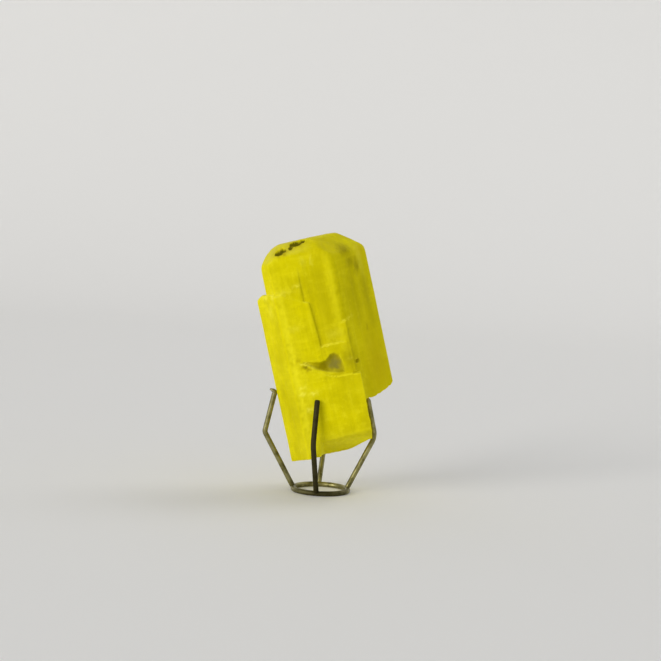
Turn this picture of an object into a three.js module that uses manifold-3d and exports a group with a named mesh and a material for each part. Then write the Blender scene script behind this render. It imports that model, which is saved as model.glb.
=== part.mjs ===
// Apatite crystal leaning in a small stand of bent wire. Millimetres, +Z up.
//
// The origin is on the ground, under the middle of the object's outline. The crystal is a cluster of
// parallel hexagonal prisms grown into one solid, with a broken corner, chips and pits. Its long axis leans
// to -X. The stand is a closed wire ring, with four bent prongs soldered on its top. The crystal rests
// between them.

import * as THREE from 'three';
import { mergeVertices } from 'three/addons/utils/BufferGeometryUtils.js';
import Module from 'manifold-3d';

const wasm = await Module();
wasm.setup();

// ---- Driving dimensions ----------------------------------------------------------------------------------

// Wire stand
const WIRE_RADIUS = 0.65;
const RING_RADIUS = 6.8;
const RING_AXIS_HEIGHT = 0.58;
const RING_CENTRE = new THREE.Vector2(0.62, -0.13);
const BEND_RADIUS = 1.6;
const FLICK_BEND_RADIUS = 0.5;
const JOINT_GAP = 0.12;
const FOOT_LIFT = 0.9;
const BEAD_RADII = [1.2, 1.65, 1.2];
const BEAD_RISE = 0.55;
const BEAD_UNDERSIDE = 0.1;

// Crystal pose: where its axis meets the bottom face, from the ring's centre, and its lean in degrees
const CRYSTAL_FOOT = new THREE.Vector3(8.02, 0, 11.22);
const CRYSTAL_LEAN = 15.0;

// Crystal habit. Prism faces stand 60 degrees apart; the front one is turned FRONT_TURN degrees from -Y.
// Each list gives the faces' distances from the axis: front, right, back right, back, back left, left.
const PRISM_SIDES = 6;
const BACK = 3;
const FRONT_TURN = -3;
const PYRAMID_SLOPE = 40.3;
const LENGTH = 53.6;
const MAIN_FACES = [10.05, 9.05, 12.95, 10.3, 7.85, 13.65];
const UPPER_LEFT_FACES = [10.75, 1.87, 12.5, 10.2, 7.95, 13.75];
const LOWER_LEFT_FACES = [10.85, 3.62, 12.4, 10.4, 12.85, 14.25];
const MIDDLE_FACES = [10.8, 8.85, 12.3, 10.2, 7.7, 13.5];
const FOOT_FACES = [11.05, 11.6, 12.85, 10.35, 7.75, 13.55];
const MAIN_BEVEL = 0.4;
const MINOR_BEVEL = 0.12;

// Heights along the crystal's axis
const MAIN_BOTTOM = 6;
const UPPER_LEFT_BOTTOM = 30;
const UPPER_LEFT_TOP = 53.25;
const LOWER_LEFT_BOTTOM = 0;
const LOWER_LEFT_TOP = 42.2;
const MIDDLE_BOTTOM = 3;
const MIDDLE_TOP = 27.6;
const FOOT_BOTTOM = 0.7;
const FOOT_TOP = 26;
const FOOT_BACK_SHOULDER = 3.4;

// Height of the lower edge of each pyramid face at the top, in the order of the face lists
const TOP_SHOULDERS = [50.6, 48.5, 48.3, 50.2, 52.2, 49.2];

// How finely round shapes are faceted
const RING_SEGMENTS = 60;
const WIRE_SIDES = 10;
const PRONG_STEPS = 24;
const BEAD_SIDES = 12;
const BEAD_BANDS = 8;
const COARSE_BALL = 1;
const FINE_BALL = 2;

// ---- Solids ----------------------------------------------------------------------------------------------

const MERGE_DISTANCE = 1e-4;

function toSolid(geometry) {
  const bare = geometry.clone();
  bare.deleteAttribute('normal');
  bare.deleteAttribute('uv');
  const merged = mergeVertices(bare, MERGE_DISTANCE);
  return new wasm.Manifold(new wasm.Mesh({
    numProp: 3,
    vertProperties: new Float32Array(merged.attributes.position.array),
    triVerts: new Uint32Array(merged.index.array),
  }));
}

function toGeometry(solid) {
  const mesh = solid.getMesh();
  const geometry = new THREE.BufferGeometry();
  geometry.setAttribute('position', new THREE.BufferAttribute(new Float32Array(mesh.vertProperties), 3));
  geometry.setIndex(new THREE.BufferAttribute(new Uint32Array(mesh.triVerts), 1));
  const flat = geometry.toNonIndexed();
  flat.computeVertexNormals();
  return flat;
}

function part(name, geometry, material) {
  const mesh = new THREE.Mesh(geometry, material);
  mesh.name = name;
  return mesh;
}

// Everything beyond the plane through a point, on the side that its normal points to.
function beyondPlane(normal, point) {
  const size = 120;
  const box = new THREE.BoxGeometry(size, size, size);
  box.translate(0, 0, size / 2);
  const up = new THREE.Vector3(0, 0, 1);
  box.applyQuaternion(new THREE.Quaternion().setFromUnitVectors(up, normal.clone().normalize()));
  box.translate(point.x, point.y, point.z);
  return toSolid(box);
}

// An outline drawn in the X-Z plane, as long in Y as the crystal is deep and more.
function throughDepth(outline) {
  const depth = 40;
  const shape = new THREE.Shape(outline.map(([x, z]) => new THREE.Vector2(x, z)));
  const block = new THREE.ExtrudeGeometry(shape, { depth, bevelEnabled: false });
  block.rotateX(Math.PI / 2);
  block.translate(0, depth / 2, 0);
  return toSolid(block);
}

// A ball squashed to three radii and turned about Y, which leaves a shell-shaped hollow where it is cut out.
function scoop({ centre, radii, turn = 0, detail = COARSE_BALL }) {
  const ball = new THREE.IcosahedronGeometry(1, detail);
  ball.scale(...radii);
  ball.rotateY(THREE.MathUtils.degToRad(turn));
  ball.translate(...centre);
  return toSolid(ball);
}

// ---- Crystal ---------------------------------------------------------------------------------------------

// Outward direction of prism face k; k + 0.5 is the bevel between faces k and k + 1.
function faceNormal(k) {
  const azimuth = THREE.MathUtils.degToRad(FRONT_TURN + (360 / PRISM_SIDES) * k);
  return new THREE.Vector2(Math.sin(azimuth), -Math.cos(azimuth));
}

// Where the lines n1 . p = d1 and n2 . p = d2 cross.
function crossing(n1, d1, n2, d2) {
  const det = n1.x * n2.y - n1.y * n2.x;
  return new THREE.Vector2((d1 * n2.y - d2 * n1.y) / det, (n1.x * d2 - n2.x * d1) / det);
}

// The part of a convex outline on the inner side of the line n . p = distance.
function clipped(outline, normal, distance) {
  const kept = [];
  outline.forEach((point, i) => {
    const next = outline[(i + 1) % outline.length];
    const outside = point.dot(normal) - distance;
    const nextOutside = next.dot(normal) - distance;
    if (outside <= 0) {
      kept.push(point);
    }
    if (outside * nextOutside < 0) {
      kept.push(point.clone().lerp(next, outside / (outside - nextOutside)));
    }
  });
  return kept;
}

// A hexagonal prism from its six face distances, with a narrow bevel along each upright edge.
function prism(faces, bottom, top, bevel = MINOR_BEVEL) {
  const reach = 60;
  const square = [[-reach, -reach], [reach, -reach], [reach, reach], [-reach, reach]];
  let outline = square.map(([x, y]) => new THREE.Vector2(x, y));
  for (let k = 0; k < PRISM_SIDES; k += 1) {
    const next = (k + 1) % PRISM_SIDES;
    const corner = crossing(faceNormal(k), faces[k], faceNormal(next), faces[next]);
    outline = clipped(outline, faceNormal(k), faces[k]);
    outline = clipped(outline, faceNormal(k + 0.5), corner.dot(faceNormal(k + 0.5)) - bevel);
  }
  const shape = new THREE.Shape(outline);
  const block = new THREE.ExtrudeGeometry(shape, { depth: top - bottom, bevelEnabled: false });
  block.translate(0, 0, bottom);
  return toSolid(block);
}

// The half space outside the pyramid face that rises from prism face k at the given height.
function pyramidFace(k, distance, height, slope = PYRAMID_SLOPE) {
  const tilt = THREE.MathUtils.degToRad(slope);
  const out = faceNormal(k);
  const normal = new THREE.Vector3(out.x * Math.sin(tilt), out.y * Math.sin(tilt), Math.cos(tilt));
  return beyondPlane(normal, new THREE.Vector3(out.x * distance, out.y * distance, height));
}

function withPyramid(solid, faces) {
  const cut = (rest, distance, k) => rest.subtract(pyramidFace(k, distance, TOP_SHOULDERS[k]));
  return faces.reduce(cut, solid);
}

// The fracture that took the lower right corner away: its profile seen from the front, and its turn about Z.
const BREAK_TURN = 3;
const breakOutline = [
  [-3.3, -4], [-3.3, 0.9], [-0.7, 1.6], [1.4, 1.95], [3, 2.6], [4.4, 2.75], [4.6, 3.8], [4.75, 7.8],
  [4.8, 12.2], [5.5, 13.6], [6.2, 13.1], [6.6, 12.5], [8.4, 13.05], [10.2, 13.2], [11.7, 13.7],
  [12.9, 14.4], [20, 18.5], [20, -4],
];

function brokenCorner() {
  return throughDepth(breakOutline).rotate([0, 0, BREAK_TURN]);
}

// The front of the lowest part, whose fractured top edge steps down to the right.
const footOutline = [
  [-17, -1], [5.5, -1], [5.5, 19.5], [1.9, 19.65], [-0.1, 19.7], [-1.8, 20.7], [-3.6, 21.5], [-5.6, 22.7],
  [-7, 24.1], [-8.4, 24.5], [-11, 23], [-17, 21],
];

// The sloping face under the front of the foot, drawn in the Y-Z plane and swept along X from its left end.
const BOTTOM_BEVEL_LEFT = -7.2;
const BOTTOM_BEVEL_LENGTH = 24;
const bottomBevelOutline = [[-14, 7.3], [-14, -2], [-1.4, -2]];

function bottomBevel() {
  const triangle = new THREE.Shape(bottomBevelOutline.map(([y, z]) => new THREE.Vector2(y, z)));
  const sweep = new THREE.ExtrudeGeometry(triangle, { depth: BOTTOM_BEVEL_LENGTH, bevelEnabled: false });
  sweep.rotateX(Math.PI / 2);
  sweep.rotateZ(Math.PI / 2);
  sweep.translate(BOTTOM_BEVEL_LEFT, 0, 0);
  return toSolid(sweep);
}

// The planes that end the lower left prism: its sloping top, its worn left shoulder and its tilted underside.
const lowerLeftEnds = [
  { normal: new THREE.Vector3(0.36, 0.1, 1), point: new THREE.Vector3(-11.5, -8, 42) },
  { normal: new THREE.Vector3(-0.7, 0, 1), point: new THREE.Vector3(-15.6, 0, 41.4) },
  { normal: new THREE.Vector3(0, -0.135, -1), point: new THREE.Vector3(0, -0.6, 0) },
];

const scoops = [
  // hollows in the broken corner
  { centre: [9.6, 3.4, 12.2], radii: [3.2, 4.2, 1.8], turn: -12, detail: FINE_BALL },
  { centre: [5.6, 3.5, 7.5], radii: [1.8, 4.8, 4.2], detail: FINE_BALL },
  // the large chip in the front, its long left arm and the pit beyond it
  { centre: [0.3, -11.6, 22.9], radii: [1.9, 1.7, 2.6], turn: 10, detail: FINE_BALL },
  { centre: [-3, -11.5, 22.9], radii: [4.4, 1.2, 0.95], turn: 22, detail: FINE_BALL },
  { centre: [-7.1, -11.2, 23.3], radii: [0.9, 0.8, 0.45], turn: 38 },
  // pits along the top's front edge
  { centre: [-7.5, -8.9, 52.2], radii: [1.2, 1.1, 0.8] },
  { centre: [-4.6, -8.5, 52.6], radii: [0.8, 0.9, 0.6] },
  { centre: [-2.2, -7.4, 53.1], radii: [1.5, 1.4, 0.8] },
  // hollows in the top of the lower left prism
  { centre: [-13, 3.2, 42.5], radii: [2, 2.6, 0.9], turn: -10 },
  { centre: [-10.8, -10.6, 41.9], radii: [1, 0.7, 0.5] },
];

function crystalSolid() {
  const lowerLeft = lowerLeftEnds.reduce(
    (solid, { normal, point }) => solid.subtract(beyondPlane(normal, point)),
    prism(LOWER_LEFT_FACES, LOWER_LEFT_BOTTOM, LOWER_LEFT_TOP),
  );
  const others = [
    withPyramid(prism(UPPER_LEFT_FACES, UPPER_LEFT_BOTTOM, UPPER_LEFT_TOP), UPPER_LEFT_FACES),
    lowerLeft,
    prism(MIDDLE_FACES, MIDDLE_BOTTOM, MIDDLE_TOP),
    prism(FOOT_FACES, FOOT_BOTTOM, FOOT_TOP).intersect(throughDepth(footOutline)),
  ];
  const main = withPyramid(prism(MAIN_FACES, MAIN_BOTTOM, LENGTH, MAIN_BEVEL), MAIN_FACES);
  const grown = others.reduce((cluster, crystal) => cluster.add(crystal), main);

  const losses = [
    brokenCorner(),
    bottomBevel(),
    pyramidFace(BACK, FOOT_FACES[BACK], FOOT_BACK_SHOULDER, 180 - PYRAMID_SLOPE),
    ...scoops.map((hollow) => scoop(hollow)),
  ];
  return losses.reduce((solid, cut) => solid.subtract(cut), grown);
}

const apatite = new THREE.MeshStandardMaterial({
  name: 'apatite',
  color: 0xd9c80c,
  roughness: 0.45,
  metalness: 0,
});
const crystal = part('crystal', toGeometry(crystalSolid()), apatite);
crystal.position.copy(CRYSTAL_FOOT);
crystal.rotation.y = THREE.MathUtils.degToRad(-CRYSTAL_LEAN);

// ---- Wire stand ------------------------------------------------------------------------------------------

const wire = new THREE.MeshStandardMaterial({
  name: 'plated_wire',
  color: 0xb8b08c,
  roughness: 0.32,
  metalness: 1,
});
const solder = new THREE.MeshStandardMaterial({
  name: 'solder',
  color: 0x9c9a94,
  roughness: 0.42,
  metalness: 1,
});

// A point on a round section of the ring, at an angle round the wire's axis.
function sectionPoint(radius, angle) {
  const out = RING_RADIUS + radius * Math.cos(angle);
  const up = RING_AXIS_HEIGHT + radius * Math.sin(angle);
  return new THREE.Vector2(out, up);
}

// A closed section carried once round Z.
function turned(section) {
  const lathe = new THREE.LatheGeometry(section, RING_SEGMENTS);
  lathe.rotateX(Math.PI / 2);
  return lathe;
}

// The ring: a round wire section with the small flat that it rests on.
function ringGeometry() {
  const flatAngle = Math.acos(RING_AXIS_HEIGHT / WIRE_RADIUS);
  const section = [];
  for (let i = 0; i <= WIRE_SIDES; i += 1) {
    const angle = -Math.PI / 2 + flatAngle + (2 * Math.PI - 2 * flatAngle) * (i / WIRE_SIDES);
    const point = sectionPoint(WIRE_RADIUS, angle);
    point.y = Math.max(point.y, 0);
    section.push(point);
  }
  section.push(section[0].clone());
  return turned(section);
}

// The space that the ring's wire takes up together with the given clearance.
function ringSpace(clearance) {
  const section = [];
  for (let i = 0; i <= WIRE_SIDES; i += 1) {
    section.push(sectionPoint(WIRE_RADIUS + clearance, (2 * Math.PI * i) / WIRE_SIDES));
  }
  return turned(section);
}

function circleShape(radius) {
  const points = [];
  for (let i = 0; i < WIRE_SIDES; i += 1) {
    const angle = (2 * Math.PI * i) / WIRE_SIDES;
    points.push(new THREE.Vector2(radius * Math.cos(angle), radius * Math.sin(angle)));
  }
  return new THREE.Shape(points);
}

// Straight runs of wire between the points, with a rounded bend at each inner one.
function bentPath(points, bendRadius) {
  const path = new THREE.CurvePath();
  let from = points[0];
  for (let i = 1; i < points.length - 1; i += 1) {
    const before = points[i].clone().add(points[i - 1].clone().sub(points[i]).setLength(bendRadius));
    const after = points[i].clone().add(points[i + 1].clone().sub(points[i]).setLength(bendRadius));
    path.add(new THREE.LineCurve3(from, before));
    path.add(new THREE.QuadraticBezierCurve3(before, points[i], after));
    from = after;
  }
  path.add(new THREE.LineCurve3(from, points[points.length - 1]));
  return path;
}

function wireGeometry(path, radius, steps) {
  const settings = { steps, bevelEnabled: false, extrudePath: path };
  return new THREE.ExtrudeGeometry(circleShape(radius), settings);
}

// Each prong: where its foot stands on the ring, as an angle from +X, then its bend and its tip, from the
// ring's centre on the ground. The left one's nipped end turns outwards in a short flick.
const prongs = [
  {
    side: 'left',
    footAngle: 176,
    bend: new THREE.Vector3(-14.9, 0.4, 14.25),
    tip: new THREE.Vector3(-12.5, -0.5, 24.4),
    flick: new THREE.Vector3(-13.25, -0.5, 25.0),
  },
  {
    side: 'right',
    footAngle: 16,
    bend: new THREE.Vector3(12.95, 1.2, 14.3),
    tip: new THREE.Vector3(10.6, 0.5, 24.0),
  },
  {
    side: 'front',
    footAngle: 262,
    bend: new THREE.Vector3(-2.25, -13.5, 13.6),
    tip: new THREE.Vector3(-1.8, -11.6, 23.9),
  },
  {
    side: 'rear',
    footAngle: 94,
    bend: new THREE.Vector3(1.4, 13.8, 14.0),
    tip: new THREE.Vector3(1.2, 11.3, 24.4),
  },
];

// A solder bead sits round the ring's wire and round the foot of the prong, and stays clear of the ground.
function beadGeometry(seat, rise, angle, foot, bend) {
  const bead = new THREE.SphereGeometry(1, BEAD_SIDES, BEAD_BANDS);
  bead.scale(...BEAD_RADII);
  bead.rotateZ(angle);
  const centre = seat.clone().addScaledVector(rise, BEAD_RISE);
  bead.translate(centre.x, centre.y, centre.z);
  const footSocket = new THREE.LineCurve3(foot.clone().addScaledVector(rise, -JOINT_GAP), bend);
  const cutters = [
    toSolid(wireGeometry(footSocket, WIRE_RADIUS + JOINT_GAP, 1)),
    toSolid(ringSpace(JOINT_GAP)),
    beyondPlane(new THREE.Vector3(0, 0, -1), new THREE.Vector3(0, 0, BEAD_UNDERSIDE)),
  ];
  return toGeometry(cutters.reduce((solid, cut) => solid.subtract(cut), toSolid(bead)));
}

function prongParts({ side, footAngle, bend, tip, flick }) {
  const angle = THREE.MathUtils.degToRad(footAngle);
  const onRing = sectionPoint(0, 0);
  const seat = new THREE.Vector3(onRing.x * Math.cos(angle), onRing.x * Math.sin(angle), onRing.y);
  const rise = bend.clone().sub(seat).normalize();
  const foot = seat.clone().addScaledVector(rise, FOOT_LIFT);
  const points = flick ? [foot, bend, tip, flick] : [foot, bend, tip];
  const path = bentPath(points, flick ? FLICK_BEND_RADIUS : BEND_RADIUS);
  return [
    part(`prong_${side}`, wireGeometry(path, WIRE_RADIUS, PRONG_STEPS), wire),
    part(`solder_${side}`, beadGeometry(seat, rise, angle, foot, bend), solder),
  ];
}

// ---- Object ----------------------------------------------------------------------------------------------

const object = new THREE.Group();
object.position.set(RING_CENTRE.x, RING_CENTRE.y, 0);
object.add(part('base_ring', ringGeometry(), wire));
prongs.forEach((prong) => object.add(...prongParts(prong)));
object.add(crystal);

const root = new THREE.Group();
root.add(object);

export default root;
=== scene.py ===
# Apatite crystal leaning in a small stand of bent wire: its looks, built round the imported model.
# Sizes are in millimetres here and become metres when a mesh is made.

import math

import bpy
import numpy as np
from mathutils import Matrix, Vector


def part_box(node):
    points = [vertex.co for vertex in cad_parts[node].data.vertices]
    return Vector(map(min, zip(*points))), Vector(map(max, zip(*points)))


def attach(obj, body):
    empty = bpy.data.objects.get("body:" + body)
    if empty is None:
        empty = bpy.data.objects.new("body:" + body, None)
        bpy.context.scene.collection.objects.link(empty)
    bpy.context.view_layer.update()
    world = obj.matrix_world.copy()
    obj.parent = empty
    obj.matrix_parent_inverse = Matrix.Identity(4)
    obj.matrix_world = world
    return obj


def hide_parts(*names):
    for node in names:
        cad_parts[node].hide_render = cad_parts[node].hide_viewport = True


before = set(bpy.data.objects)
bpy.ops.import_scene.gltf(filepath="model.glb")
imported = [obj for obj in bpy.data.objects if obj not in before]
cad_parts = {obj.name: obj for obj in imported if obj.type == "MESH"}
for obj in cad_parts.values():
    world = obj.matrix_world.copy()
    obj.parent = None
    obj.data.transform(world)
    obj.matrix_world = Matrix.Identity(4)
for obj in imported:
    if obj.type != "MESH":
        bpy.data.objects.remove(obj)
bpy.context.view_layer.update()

# ---- Base ring -------------------------------------------------------------------------------------------
# One closed turn of hard wire, plated a dull straw colour, its front darkened nearly black by painted
# shade.
# It lies flat, so its underside is rubbed to a narrow flat.

MM = 0.001
WIRE_RADIUS = 0.65
WIRE_SIDES = 28
RING_COLUMNS = 200
ring_low, ring_high = (np.array(corner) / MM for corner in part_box("base_ring"))
RING_CENTRE = np.append((ring_low[:2] + ring_high[:2]) / 2, 0)
RING_RADIUS = (ring_high[0] - ring_low[0]) / 2 - WIRE_RADIUS
RING_AXIS_HEIGHT = ring_high[2] - WIRE_RADIUS
RING_WAVER = 0.035
ring_waves = [(2, 1, 0.6), (5, 0.5, 2.1)]  # how many fit round the ring, their share and their phase
RING_LINE_LENGTH = 0.7
# How much painted shade the front of the ring takes.
RING_FRONT_SHADE = 0.85

PLATING_LIGHT = (0.39, 0.36, 0.16, 1)
PLATING_DULL = (0.16, 0.145, 0.05, 1)
# Near-black colour of the painted shade on the wire.
PAINTED_SHADE_COLOUR = (0.035, 0.028, 0.010, 1)


def skinned(name, grid, ends=None, marks=None):
    """A closed skin over a grid of points, rows by columns. Each row closes round. The rows close round too
    where there are no ends; otherwise a fan of triangles closes the first row to the first end point and
    the last row to the second. Turned inside out if its volume comes out negative. marks are named point
    values."""
    rows, columns = grid.shape[:2]
    index = np.arange(rows * columns).reshape(rows, columns)
    beside = np.roll(index, -1, axis=1)
    points = grid.reshape(-1, 3)
    if ends is None:
        around_end = [np.roll(beside, -1, axis=0), np.roll(index, -1, axis=0)]
        quads = np.stack([index, beside, *around_end], axis=-1).reshape(-1, 4)
        fans = np.empty((0, 3), int)
    else:
        quads = np.stack([index[:-1], beside[:-1], beside[1:], index[1:]], axis=-1).reshape(-1, 4)
        first, last = np.full(columns, rows * columns), np.full(columns, rows * columns + 1)
        fans = np.stack([np.concatenate([beside[0], index[-1]]), np.concatenate([index[0], beside[-1]]),
                         np.concatenate([first, last])], axis=-1)
        points = np.vstack([points, ends])
    corners = points[np.concatenate([quads[:, [0, 1, 2]], quads[:, [0, 2, 3]], fans])]
    volume = np.einsum("ij,ij->i", corners[:, 0], np.cross(corners[:, 1], corners[:, 2])).sum()
    if volume < 0:
        quads, fans = quads[:, ::-1], fans[:, ::-1]
    mesh = bpy.data.meshes.new(name)
    mesh.from_pydata((points * MM).tolist(), [], quads.tolist() + fans.tolist())
    mesh.shade_smooth()
    for mark, values in (marks or {}).items():
        kind = "FLOAT_VECTOR" if values.ndim == 2 else "FLOAT"
        field = "vector" if values.ndim == 2 else "value"
        layer = mesh.attributes.new(mark, kind, "POINT")
        layer.data.foreach_set(field, values.astype(np.float32).ravel())
    piece = bpy.data.objects.new(name, mesh)
    bpy.context.scene.collection.objects.link(piece)
    return piece


def add(tree, kind, inputs=None, **settings):
    """A new shader node. Each input takes a plain value or another node's output."""
    made = tree.nodes.new("ShaderNode" + kind)
    for setting, value in settings.items():
        setattr(made, setting, value)
    for socket, value in (inputs or {}).items():
        if isinstance(value, bpy.types.NodeSocket):
            tree.links.new(value, made.inputs[socket])
        else:
            made.inputs[socket].default_value = value
    return made


MIX_SHARE, MIX_FIRST, MIX_SECOND, MIX_RESULT = 0, 6, 7, 2  # places of a mix node's sockets for colours


def blended(tree, share, first, second):
    """The colour that goes from first to second as share goes from 0 to 1."""
    made = add(tree, "Mix", {MIX_SHARE: share, MIX_FIRST: first, MIX_SECOND: second}, data_type="RGBA")
    return made.outputs[MIX_RESULT]


def ranged(tree, value, low, high, start=0.0, end=1.0):
    """A value carried from the range low to high over to the range start to end, and held at both."""
    made = add(tree, "MapRange", {"Value": value, "From Min": low, "From Max": high,
                                  "To Min": start, "To Max": end})
    return made.outputs[0]


def new_material(name):
    """An empty node material and its shader, ready to be given colours."""
    material = bpy.data.materials.new(name)
    material.use_nodes = True
    material.node_tree.nodes.clear()
    shader = add(material.node_tree, "BsdfPrincipled")
    output = add(material.node_tree, "OutputMaterial")
    material.node_tree.links.new(shader.outputs[0], output.inputs[0])
    return material, shader


def plated_wire_finish():
    """Drawn wire under thin plating: fine lines along the wire, duller where it has been handled, and
    darkened nearly to black by painted shade, most of all at the front of the stand. The lines follow the
    drawn mark, which holds the cosine and sine round the wire and the way along it; another mark says how
    much painted shade each point takes."""
    material, shader = new_material("plated_wire_finish")
    tree = material.node_tree
    drawn = add(tree, "Attribute", attribute_name="drawn").outputs["Vector"]
    lines = add(tree, "TexNoise", {"Vector": drawn, "Scale": 9.0, "Detail": 5.0, "Roughness": 0.7})
    place = add(tree, "TexCoord").outputs["Object"]
    patches = add(tree, "TexNoise", {"Vector": place, "Scale": 420.0, "Detail": 4.0, "Roughness": 0.6})
    grains = add(tree, "TexNoise", {"Vector": place, "Scale": 3600.0, "Detail": 2.0})
    dullness = ranged(tree, patches.outputs[0], 0.42, 0.66)
    # Painted shade: each point's share of the near-black colour, which also roughens it.
    painted_shade = add(tree, "Attribute", attribute_name="painted_shade").outputs["Fac"]
    plating = blended(tree, dullness, PLATING_LIGHT, PLATING_DULL)
    tree.links.new(blended(tree, painted_shade, plating, PAINTED_SHADE_COLOUR), shader.inputs["Base Color"])
    shader.inputs["Metallic"].default_value = 1.0
    roughness = add(tree, "Math", {0: ranged(tree, patches.outputs[0], 0.35, 0.7, 0.3, 0.54),
                                   1: ranged(tree, painted_shade, 0, 1, 0, 0.85)}, operation="MAXIMUM")
    tree.links.new(roughness.outputs[0], shader.inputs["Roughness"])
    fine = add(tree, "Bump", {"Height": lines.outputs[0], "Strength": 0.35, "Distance": 0.00003})
    rough = add(tree, "Bump", {"Height": grains.outputs[0], "Strength": 0.25, "Distance": 0.00002,
                               "Normal": fine.outputs[0]})
    tree.links.new(rough.outputs[0], shader.inputs["Normal"])
    return material


def ring_skin(columns, sides):
    """A round section carried round a circle: distance out is the ring's radius plus the section's cosine
    share, and height is the axis height plus its sine share, never below the ground. Between the prongs the
    radius wavers by a few slow sine waves, as a hand-bent ring's does. The ring's front is darkened with
    painted shade, by how far the sine of the angle is below nought. Returns the grid and its marks."""
    turn = np.linspace(0, 2 * np.pi, columns, endpoint=False)[:, None]
    around = np.linspace(0, 2 * np.pi, sides, endpoint=False)[None, :]
    waver = RING_WAVER * sum(share * np.sin(count * turn + phase) for count, share, phase in ring_waves)
    out = RING_RADIUS + waver * np.sin(turn * 2) ** 2 + WIRE_RADIUS * np.cos(around)
    height = np.maximum(RING_AXIS_HEIGHT + WIRE_RADIUS * np.sin(around), 0) + 0 * turn
    grid = np.stack([out * np.cos(turn), out * np.sin(turn), height], axis=-1) + RING_CENTRE
    drawn = np.stack([np.cos(around) + 0 * turn, np.sin(around) + 0 * turn,
                      np.sin(turn) * RING_LINE_LENGTH + 0 * around], axis=-1)
    # Painted shade, growing towards the front of the ring.
    painted_shade = RING_FRONT_SHADE * np.clip(-np.sin(turn), 0, 1) + 0 * around
    return grid, {"drawn": drawn.reshape(-1, 3), "painted_shade": painted_shade.ravel()}


plated_wire = plated_wire_finish()
ring_grid, ring_marks = ring_skin(RING_COLUMNS, WIRE_SIDES)
ring = skinned("ring_wire", ring_grid, marks=ring_marks)
ring.data.materials.append(plated_wire)
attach(ring, "root")
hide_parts("base_ring")

# ---- Prongs ----------------------------------------------------------------------------------------------
# Four lengths of the same wire stand on the ring. Each leans outwards, is bent back in towards the crystal
# and is nipped off at the top; the left one's end is flicked out. The front one is darkened nearly to black
# by painted shade.

BEND_REACH = 1.6
FLICK_BEND_REACH = 0.5
BEND_STEPS = 40
FOOT_SINK = 0.15
TIP_DOME = 0.05
PRONG_ROWS = 150
NIP_NARROWING = 1.4
NIP_ROUNDING = 3
DRAWN_LINE_LENGTH = 18
DRAWN_LINE_SHIFT = 3.7
# For each prong: where its foot stands, as an angle from +X; its bend and its tip, from the ring's centre;
# the nip's length, the share of the thickness that it leaves and of the breadth that it takes; and the
# share of painted shade. The left one's third point is the tip of its flick.
prong_shapes = {
    "left": {"foot_angle": 176,
             "corners": [(-14.6, 0.4, 14.25), (-12.5, -0.5, 24.55), (-13.75, -0.5, 25.1)],
             "nip": (1.7, 0.32, 0.5), "painted_shade": 0.2},
    "right": {"foot_angle": 16, "corners": [(12.95, 1.2, 14.3), (10.6, 0.5, 24.0)],
              "nip": (0.7, 0.34, 0.22), "painted_shade": 0},
    # The front prong's near-black is painted shade.
    "front": {"foot_angle": 262, "corners": [(-2.25, -13.5, 13.6), (-1.8, -11.6, 24.3)],
              "nip": (0.7, 0.34, 0.22), "painted_shade": 0.88},
    "rear": {"foot_angle": 94, "corners": [(0.8, 13.8, 14.0), (1.0, 11.3, 24.4)],
             "nip": (0.7, 0.34, 0.22), "painted_shade": 0},
}


def seat_of(foot_angle):
    """The point on the ring's own axis where a prong stands, at an angle from +X."""
    angle = math.radians(foot_angle)
    return np.array([RING_RADIUS * math.cos(angle), RING_RADIUS * math.sin(angle), RING_AXIS_HEIGHT])


def bent_line(points, reach, rows):
    """Straight runs between the points with each inner corner rounded: within the bend's reach of a corner
    the line is the parabola that leaves along one run and arrives along the next. Spread evenly. Returns
    the line and the way along it."""
    pieces = [points[:1]]
    share = np.linspace(0, 1, BEND_STEPS)[:, None]
    for before, corner, after in zip(points[:-2], points[1:-1], points[2:]):
        entry = corner + reach * (before - corner) / np.linalg.norm(before - corner)
        leave = corner + reach * (after - corner) / np.linalg.norm(after - corner)
        pieces.append((1 - share) ** 2 * entry + 2 * share * (1 - share) * corner + share ** 2 * leave)
    line = np.vstack(pieces + [points[-1:]])
    run = np.append(0, np.cumsum(np.linalg.norm(np.diff(line, axis=0), axis=1)))
    even = np.linspace(0, run[-1], rows)
    return np.stack([np.interp(even, run, line[:, axis]) for axis in range(3)], axis=-1), even


def prong_skin(points, reach, nip, phase):
    """A round section carried along the bent line. Its two directions are the normal of the plane that the
    bend lies in, and the one square to that and to the line. Over the nip's length the section thins to the
    nip's edge along one of them and loses the nip's blunt share along the other, by powers of how near the
    tip is. Returns the grid, its end points and the drawn mark."""
    line, run = bent_line(points, reach, PRONG_ROWS)
    ahead = np.gradient(line, axis=0)
    ahead /= np.linalg.norm(ahead, axis=1, keepdims=True)
    flat = np.cross(points[1] - points[0], points[2] - points[1])
    inward = np.cross(flat / np.linalg.norm(flat), ahead)
    inward /= np.linalg.norm(inward, axis=1, keepdims=True)
    sideways = np.cross(ahead, inward)
    nip_length, nip_edge, nip_blunt = nip
    near_tip = np.clip((run - (run[-1] - nip_length)) / nip_length, 0, 1)[:, None]
    narrow = 1 - (1 - nip_edge) * near_tip ** NIP_NARROWING
    blunt = 1 - nip_blunt * near_tip ** NIP_ROUNDING
    around = np.linspace(0, 2 * np.pi, WIRE_SIDES, endpoint=False)[None, :]
    across = WIRE_RADIUS * narrow * np.cos(around)
    along_edge = WIRE_RADIUS * blunt * np.sin(around)
    grid = line[:, None] + across[..., None] * inward[:, None] + along_edge[..., None] * sideways[:, None]
    drawn = np.stack([np.cos(around) + 0 * near_tip, np.sin(around) + 0 * near_tip,
                      run[:, None] / DRAWN_LINE_LENGTH + phase + 0 * around], axis=-1).reshape(-1, 3)
    ends = np.stack([line[0], line[-1] + TIP_DOME * ahead[-1]])
    drawn = np.vstack([drawn, [[0, 0, phase], [0, 0, run[-1] / DRAWN_LINE_LENGTH + phase]]])
    return grid, ends, drawn


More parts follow.
